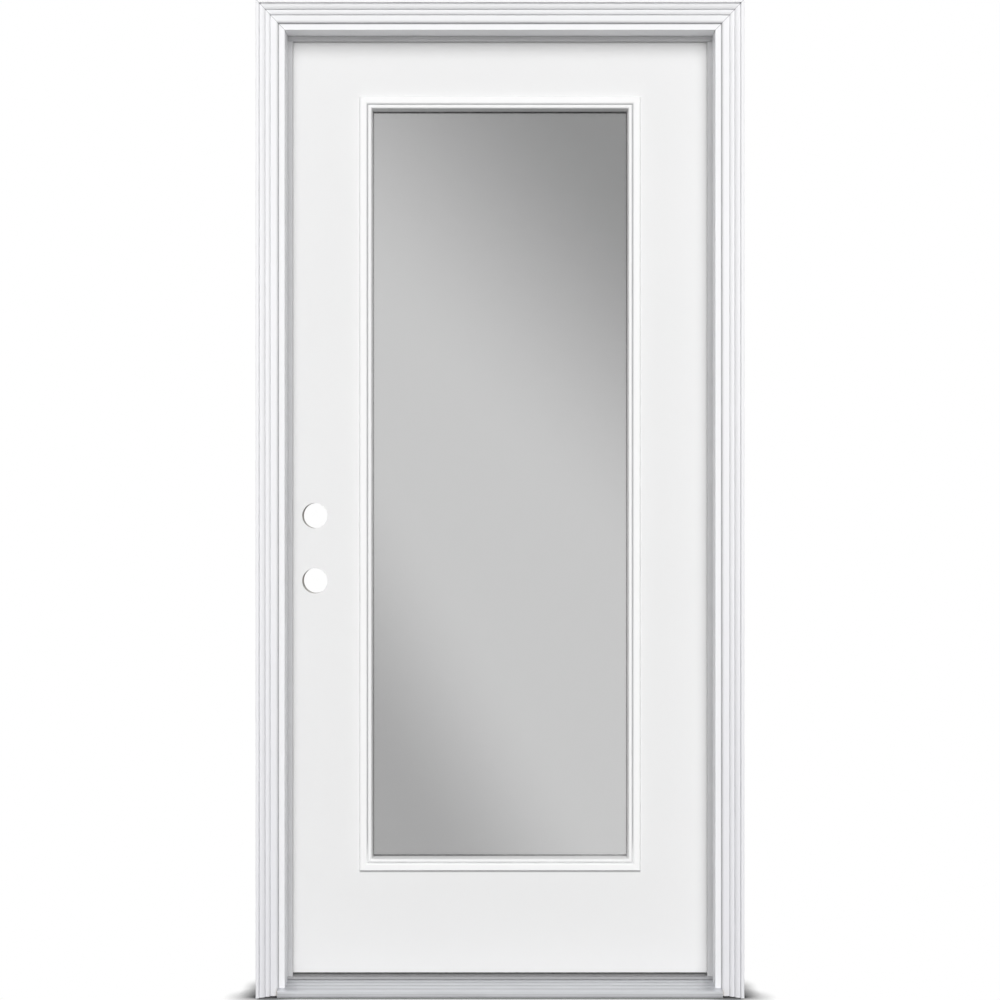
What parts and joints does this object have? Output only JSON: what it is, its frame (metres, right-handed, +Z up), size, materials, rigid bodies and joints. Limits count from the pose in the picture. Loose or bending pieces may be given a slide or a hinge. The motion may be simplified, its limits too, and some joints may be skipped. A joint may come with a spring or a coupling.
{
  "type": "steel front door",
  "caption": "Inswing steel entry door with a full-height glass light, hung in a white rabbeted frame with brickmould and an aluminium sill.",
  "frame": {"origin": "mid-width on the sill's underside, in the plane of the jambs' outside edges", "axes": "+X to the right seen from outside, +Y into the house, +Z up"},
  "size_m": [1.0244, 0.1612, 2.0941],
  "materials": {
    "frame_wood": "factory primed white, satin",
    "sill_wood": "bare treated softwood",
    "sill_aluminium": "mill finish, lightly ribbed",
    "sill_cap": "grey composite",
    "weatherstrip": "grey foam in a smooth skin",
    "door_steel": "baked white primer, satin",
    "leaf_wood": "bare softwood",
    "foam": "rigid insulating foam",
    "lite_frame": "white moulded, satin",
    "glass": "clear, reads grey",
    "spacer": "mill finish",
    "sweep": "black vinyl",
    "hinge_steel": "satin nickel plate"
  },
  "bodies": {
    "frame": {"jamb_latch": "frame_wood", "jamb_hinge": "frame_wood", "jamb_head": "frame_wood", "brickmould_left": "frame_wood", "brickmould_right": "frame_wood", "brickmould_head": "frame_wood", "sill_base": "sill_wood", "sill_deck": "sill_aluminium", "sill_cap": "sill_cap", "weatherstrip_left": "weatherstrip", "weatherstrip_right": "weatherstrip", "weatherstrip_head": "weatherstrip", "frame_leaf_top": "hinge_steel", "hinge_pin_top": "hinge_steel", "frame_leaf_middle": "hinge_steel", "hinge_pin_middle": "hinge_steel", "frame_leaf_bottom": "hinge_steel", "hinge_pin_bottom": "hinge_steel"},
    "door": {"skin_outside": "door_steel", "skin_inside": "door_steel", "stile_latch": "leaf_wood", "stile_hinge": "leaf_wood", "rail_top": "leaf_wood", "rail_bottom": "leaf_wood", "lock_block": "leaf_wood", "foam_top": "foam", "foam_bottom": "foam", "foam_hinge_side": "foam", "foam_latch_upper": "foam", "foam_latch_lower": "foam", "lite_frame_outside": "lite_frame", "lite_frame_inside": "lite_frame", "glass_outside": "glass", "glass_inside": "glass", "glass_spacer": "spacer", "door_sweep": "sweep", "door_leaf_top": "hinge_steel", "door_leaf_middle": "hinge_steel", "door_leaf_bottom": "hinge_steel"}
  },
  "joints": [
    {"name": "door_hinge", "type": "hinge", "parent": "frame", "child": "door", "pos_m": [0.4597, 0.1229, 1], "axis": [0, 0, -1], "range_deg": [0, 170]}
  ]
}
